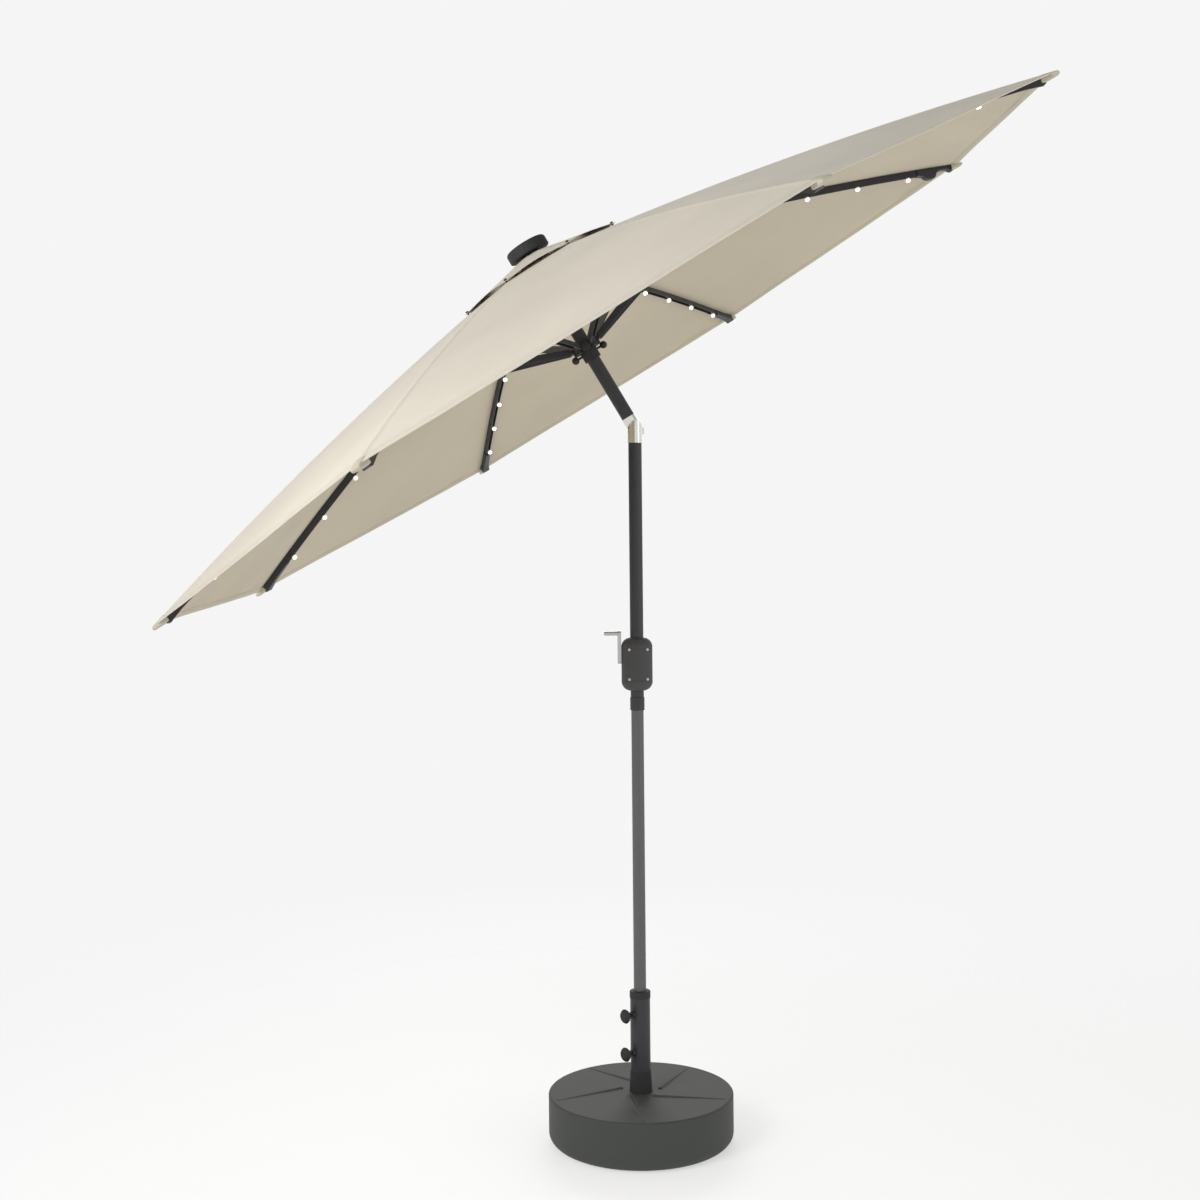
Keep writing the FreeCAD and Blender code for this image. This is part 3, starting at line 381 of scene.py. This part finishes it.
# ---- finishes -----------------------------------------------------------------------------
hem_rows = (LENGTH - HEM_INSET - HEM + 0.002, LENGTH - HEM_INSET - HEM + 0.007)
cloth_out = woven("cloth_outside", (0.665, 0.61, 0.51), (0.57, 0.52, 0.43), hem_at=hem_rows)
# The inside cloth and its thread are a darker, tan copy of the outside colour: painted shade of the canopy's
# underside.
cloth_in_painted_shade = woven("cloth_inside_painted_shade", (0.52, 0.455, 0.335), (0.45, 0.395, 0.29), hem_at=hem_rows)
# The pocket cloth is darker than the cloth it is sewn to: painted shade of the corner pockets.
pocket_cloth_painted_shade = woven("pocket_cloth_painted_shade", (0.50, 0.455, 0.355), (0.42, 0.38, 0.29))
vent_out = woven("vent_outside", (0.665, 0.61, 0.51), (0.57, 0.52, 0.43), hem_at=(0.229, 0.236))
finishes = {
    "base_plastic": moulded("base_plastic", (0.034, 0.035, 0.032), 0.46, 0.0012, 0.00012),
    "concrete": moulded("concrete", (0.45, 0.44, 0.42), 0.9, 0.004, 0.0006),
    "coated_steel": coated("coated_steel", (0.019, 0.020, 0.020), 0.33),
    "grey_steel": coated("grey_steel", (0.046, 0.049, 0.049), 0.36),
    "black_plastic": moulded("black_plastic", (0.010, 0.010, 0.0105), 0.5, 0.0009, 0.00006),
    "housing_plastic": moulded("housing_plastic", (0.030, 0.031, 0.030), 0.42, 0.001, 0.00006),
    "polished_metal": metal("polished_metal", (0.80, 0.77, 0.70), 0.14),
    "zinc_steel": metal("zinc_steel", (0.42, 0.42, 0.43), 0.34, (700.0, 700.0, 700.0)),
    "crank_metal": metal("crank_metal", (0.60, 0.60, 0.58), 0.38, (300.0, 300.0, 300.0)),
    "solar_glass": surface("solar_glass", (0.012, 0.014, 0.02), 0.3, Coat_Weight=0.6),
}
lamp_glass = surface("lamp_glass", (0.95, 0.93, 0.86), 0.25, Emission_Color=(1.0, 0.96, 0.86, 1),
                     Emission_Strength=1.6)
linked(lamp_glass, "Roughness", between(lamp_glass, noise_at(lamp_glass, 400.0), 0.3, 0.7, 0.2, 0.34))
lamp_socket = moulded("lamp_socket", (0.62, 0.60, 0.55), 0.45, 0.0008, 0.00004)
clear_wire = moulded("clear_wire", (0.35, 0.34, 0.31), 0.35, 0.0008, 0.00003)

own_finishes = {
    "housing_screws": metal("blackened_steel", (0.09, 0.09, 0.09), 0.42, (700.0, 700.0, 700.0)),
    "vent_studs": moulded("stud_plastic", (0.016, 0.015, 0.014), 0.45, 0.0009, 0.00004),
}
for entry in frame["record"]["materials"]:
    for name in entry.get("nodes", []):
        if name in nodes and entry["slot"] in finishes:
            nodes[name].data.materials.clear()
            nodes[name].data.materials.append(own_finishes.get(name, finishes[entry["slot"]]))


# ---- canopy cloth -------------------------------------------------------------------------
def cloth_point(s, y):
    """The cloth in a rib's frame: s is the distance down the seam from the hole, y across."""
    side = -1.0 if y < 0 else 1.0
    seam = bent(s)
    radius, height = seam.x, seam.z
    half = radius * math.sin(PIE)
    w = min(1.0, abs(y) / half)
    on_rib = Vector((radius, 0, height))
    middle = Vector((radius * math.cos(PIE) ** 2, side * radius * math.cos(PIE) * math.sin(PIE), height))
    gore_slope = math.atan(math.tan(math.pi / 2 - BOW_START + s / BOW_R) / math.cos(PIE))
    out = Vector((math.sin(gore_slope) * math.cos(PIE), side * math.sin(gore_slope) * math.sin(PIE),
                  math.cos(gore_slope)))
    fall = 1 - (1 - w) ** 2
    ripple = noise.noise(Vector((s * 5.0, y * 2.5, 3.0))) * 0.0035
    ripple += noise.noise(Vector((s * 14.0, y * 9.0, 7.0))) * 0.0010
    depth = SAG * 2 * half * fall - ripple * math.sin(math.pi * w) * min(1.0, half / 0.3)
    return on_rib.lerp(middle, w) - out * depth, out


def hem_s(w):
    """Distance to the hem, from the seam (w = 0) to the middle of the panel (w = 1)."""
    return LENGTH - HEM_INSET - 0.004 * (1 - (1 - w) ** 2)


def canopy_cloth(rib):
    """One rib's cloth, from the middle of one panel to the middle of the next."""
    shares = [0.0, 0.03, 0.07, 0.13, 0.21, 0.31, 0.42, 0.54, 0.66, 0.78, 0.89, 0.96, 1.0]
    edge = [0.0, 0.004, SEAM - 0.0008, SEAM + 0.0008]
    levels = [i / 34 for i in range(34)] + [1.0]
    body = LENGTH - HEM_INSET - HEM
    stops = [body * t for t in levels] + [body + 0.0008, body + 0.5 * HEM, LENGTH - HEM_INSET - 0.001,
                                          LENGTH - HEM_INSET]
    top, bottom, uvs = [], [], []
    for s in stops:
        half = bent(s).x * math.sin(PIE)
        ys = edge + [edge[-1] + (half - edge[-1]) * f for f in shares[1:]]
        ys = [-y for y in reversed(ys[1:])] + ys
        for y in ys:
            w = abs(y) / half
            pulled = s - (LENGTH - HEM_INSET - hem_s(w)) * (s / LENGTH) ** 6
            point, out = cloth_point(pulled, y)
            seam = 0.0006 if abs(y) < SEAM else 0.0
            hem = 0.0009 if s > body else 0.0
            top.append(point + out * (seam + hem * 0.3))
            bottom.append(point - out * (CLOTH + hem))
            uvs.append((y, pulled))
    place = wheel(rib)
    top = [place @ p for p in top]
    bottom = [place @ p for p in bottom]
    # the inner side gets the darker cloth, which carries painted shade
    obj = shell(f"canopy_cloth_{rib}", top, bottom, len(ys), [cloth_out, cloth_in_painted_shade], uvs)
    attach(obj, f"rib_{rib}")
    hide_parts(f"canopy_sector_{rib}")
    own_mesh(obj)


# ---- corner pockets ---------------------------------------------------------------------
POCKET_L = 0.040
POCKET_W = 0.028
POCKET_D = 0.0215                  # depth of a pocket's mouth


def corner_pocket(rib):
    """The sewn sleeve at a corner that takes the hook of the rib's cap."""
    verts, faces = [], []
    stations = [0.0, 0.06, 0.2, 0.4, 0.6, 0.8, 0.93, 0.985, 1.0]
    around = 28
    for level in (0, 1):                             # outer and inner walls
        for t in stations:
            shrink = 0.0011 * level
            depth = POCKET_D - 0.0115 * t - 2 * shrink
            width = POCKET_W * (1 - 0.10 * t) - 2 * shrink
            if t > 0.9:
                depth *= 1 - 0.45 * ((t - 0.9) / 0.1) ** 2
                width *= 1 - 0.10 * ((t - 0.9) / 0.1) ** 2
            s = LENGTH - POCKET_L * (1 - t) - 0.0015 * level
            for i in range(around):
                a = 2 * math.pi * i / around
                c, d = math.cos(a), math.sin(a)
                y = width / 2 * math.copysign(abs(c) ** 0.45, c)
                z = depth / 2 * math.copysign(abs(d) ** 0.55, d)
                pucker = noise.noise(Vector((s * 60, a * 2.2, ord(rib)))) * 0.0011 * math.sin(math.pi * t)
                verts.append(Vector((s, y * (1 + pucker * 30), 0.0012 - POCKET_D / 2 + z
                                     + 0.0055 * t + pucker - shrink * 0.2)))
    rows = len(stations)
    count = rows * around
    faces += grid_faces(rows, around, 0, close=True) + grid_faces(rows, around, count, close=True)
    for i in range(around):
        j = (i + 1) % around
        faces.append([i, j, j + count, i + count])
    faces.append([count - around + i for i in range(around)])
    faces.append([2 * count - around + i for i in range(around)])
    place = wheel(rib)
    uvs = [(v.y + 0.1, v.x) for v in verts]
    # the pocket cloth carries painted shade
    obj = piece(f"corner_pocket_{rib}", [place @ bent(*v) for v in verts], faces, [pocket_cloth_painted_shade], None,
                uvs, 60.0)
    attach(obj, f"rib_{rib}")


# ---- lamps ------------------------------------------------------------------------------
def lamp_string(rib):
    """The lamps of one rib on their wire: a collar and a domed lens each."""
    place = wheel(rib)
    points = [unbent(p) for p in seen_from(place, f"led_string_{rib}")]
    floor_z = min(p.z for p in points)
    radius = max(p.y for p in points)
    heads = sorted(p.x for p in points if p.z < floor_z + 0.004)
    groups = [[heads[0]]]
    for x in heads[1:]:
        if x - groups[-1][-1] > 0.02:
            groups.append([])
        groups[-1].append(x)
    centres = [(g[0] + g[-1]) / 2 for g in groups]
    rim = floor_z + 0.012
    collar = [(0, rim + 0.010), (0.0034, rim + 0.010), (0.0036, rim + 0.0006), (radius * 0.80, rim),
              (radius * 0.86, rim - 0.0008), (radius * 0.86, rim - 0.0026), (radius * 0.78, rim - 0.0032),
              (0, rim - 0.0032)]
    lens = [(0, rim - 0.0030), (radius * 0.74, rim - 0.0030), (radius * 0.93, rim - 0.0046),
            (radius, rim - 0.0066), (radius * 0.95, rim - 0.0088), (radius * 0.78, rim - 0.0106),
            (radius * 0.45, rim - 0.0117), (0, floor_z)]
    parts = []
    for x in centres:
        for profile in (collar, lens):
            verts, faces = turned(profile, 20)
            parts.append(([v + Vector((x, 0, 0)) for v in verts], faces))
    wire_z = max(p.z for p in points) - 0.0028
    start = min(p.x for p in points)
    run = [start + (centres[-1] - start) * i / 60 for i in range(61)]
    verts, ring = [], 8
    for x in run:
        near = min(abs(x - c) for c in centres)
        y = 0.0013 * math.sin(x * 37.0) * min(1.0, near / 0.03)
        for i in range(ring):
            a = 2 * math.pi * i / ring
            verts.append(Vector((x, y + 0.0011 * math.cos(a), wire_z + 0.0011 * math.sin(a))))
    last = len(verts)
    faces = grid_faces(len(run), ring, 0, close=True)
    faces += [list(range(ring)), [last - ring + i for i in range(ring)]]
    parts.append((verts, faces))
    verts, faces, picks = joined(parts)
    picks = [2 if p == len(parts) - 1 else p % 2 for p in picks]
    finish = [lamp_socket, lamp_glass, clear_wire]
    obj = piece(f"lamps_{rib}", [place @ bent(*v) for v in verts], faces, finish, picks, None, 40.0)
    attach(obj, f"rib_{rib}")
    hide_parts(f"led_string_{rib}")


# ---- vent tier --------------------------------------------------------------------------
def vent_tier():
    """The small upper cloth: eight scalloped panels whose corners are held by studs."""
    base = wheel("A")
    points = seen_from(CANOPY, "vent_canopy")
    reach = max(math.hypot(p.x, p.y) for p in points)
    corners = [p.z for p in points if math.hypot(p.x, p.y) > reach - 0.002]
    corner_z = sum(corners) / len(corners)
    top_z = max(p.z for p in points)
    start_r = min(math.hypot(p.x, p.y) for p in points)
    radials = [0.0, 0.1, 0.22, 0.36, 0.5, 0.64, 0.77, 0.87, 0.905, 0.91, 0.985, 1.0]
    steps = 20
    tilt = math.atan2(top_z - corner_z, reach - start_r)
    top, bottom, uvs = [], [], []
    for t in radials:
        for k in range(len(RIBS) * steps + 1):
            turn = k / steps
            f = abs((turn % 1.0) - 0.5) * 2              # 1 on a rib, 0 between
            fall = 1 - f ** 2
            r_line = start_r + (reach - start_r) * t
            chord = math.cos(PIE) / math.cos(PIE * f)
            r = r_line * chord * (1 - 0.075 * fall * t ** 3)
            z = top_z + (corner_z - top_z) * t + fall * VENT_LIFT * t ** 2
            a = -turn * 2 * PIE
            point = base @ Vector((r * math.cos(a), r * math.sin(a), z + (0.0006 if t > 0.9 else 0)))
            out = base.to_3x3() @ Vector((math.sin(tilt) * math.cos(a), math.sin(tilt) * math.sin(a),
                                          math.cos(tilt)))
            side = (turn + 0.5) % 1.0 - 0.5
            top.append(point)
            bottom.append(point - out * CLOTH)
            uvs.append((2 * side * r * math.sin(PIE), r_line))
    # the vent's underside gets the darker cloth, which carries painted shade
    obj = shell("vent_cloth", top, bottom, len(RIBS) * steps + 1, [vent_out, cloth_in_painted_shade], uvs)
    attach(obj, "mast")
    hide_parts("vent_canopy")


for rib in RIBS:
    canopy_cloth(rib)
    corner_pocket(rib)
    lamp_string(rib)
vent_tier()


# ---- stage, light and camera ----------------------------------------------------------------
def floor():
    """A pale floor that fades into the backdrop."""
    mat = bpy.data.materials.new("floor")
    mat.use_nodes = True
    tree = mat.node_tree
    shader = tree.nodes["Principled BSDF"]
    shader.inputs["Base Color"].default_value = (0.86, 0.865, 0.86, 1)
    shader.inputs["Roughness"].default_value = 0.9
    shader.inputs["Emission Color"].default_value = (1, 1, 1, 1)
    shader.inputs["Emission Strength"].default_value = 0.30
    clear = add(mat, "BsdfTransparent")
    place = add(mat, "TexCoord").outputs["Object"]
    reach = add(mat, "VectorMath", {0: place}, operation="LENGTH").outputs["Value"]
    mix = add(mat, "MixShader", {0: between(mat, reach, 0.3, 3.5, 0.35, 1.0), 1: shader.outputs[0],
                                 2: clear.outputs[0]})
    tree.links.new(mix.outputs[0], tree.nodes["Material Output"].inputs[0])
    verts, faces = turned([(0, 0), (1.0, 0), (3.0, 0), (6.0, 0)], 64)
    obj = piece("floor", verts, faces, [mat])
    obj.location.z = -0.0005


def area_light(name, place, target, size, power, colour=(1, 1, 1)):
    data = bpy.data.lights.new(name, "AREA")
    data.shape, data.size, data.size_y = "RECTANGLE", *size
    data.energy, data.color = power, colour
    obj = bpy.data.objects.new(name, data)
    obj.location = place
    obj.rotation_euler = (Vector(target) - Vector(place)).to_track_quat("-Z", "Y").to_euler()
    obj.visible_camera = False
    bpy.context.scene.collection.objects.link(obj)


def camera():
    """A 45 mm lens, 4 m in front of the umbrella and half a metre left of its axis."""
    data = bpy.data.cameras.new("camera")
    data.lens, data.sensor_width = 45.066, 36.0
    data.clip_start, data.clip_end = 0.05, 100.0
    obj = bpy.data.objects.new("camera", data)
    bpy.context.scene.collection.objects.link(obj)
    turn = (Matrix.Rotation(math.radians(-5.8925), 4, "Z") @ Matrix.Rotation(math.radians(-0.5603), 4, "X")
            @ Matrix.Rotation(math.radians(0.5469), 4, "Y"))
    look = turn @ Matrix.Rotation(math.radians(90), 4, "X")
    obj.matrix_world = Matrix.Translation((-0.5147, -4.0291, 1.5012)) @ look
    bpy.context.scene.camera = obj


floor()
# the studio is even and pale up to the ceiling, which is darker
world = bpy.data.worlds.new("studio")
world.use_nodes = True
tree = world.node_tree
direction = tree.nodes.new("ShaderNodeSeparateXYZ")
tree.links.new(tree.nodes.new("ShaderNodeTexCoord").outputs["Generated"], direction.inputs[0])
ceiling = tree.nodes.new("ShaderNodeMapRange")
tree.links.new(direction.outputs[2], ceiling.inputs["Value"])
for key, value in {"From Min": 0.42, "From Max": 0.62, "To Min": 0.915, "To Max": 0.27}.items():
    ceiling.inputs[key].default_value = value
tree.links.new(ceiling.outputs[0], tree.nodes["Background"].inputs[0])
bpy.context.scene.world = world
bpy.context.scene.view_settings.view_transform = "Standard"
area_light("key", (-2.3, -1.9, 2.7), (-0.6, -0.3, 1.7), (1.4, 1.4), 43)
area_light("fill", (3.4, -2.4, 1.4), (0, 0, 0.7), (1.2, 2.2), 12)
area_light("back", (0.5, 4.8, 3.4), (-0.2, 0, 1.6), (3.0, 2.0), 90)
camera()
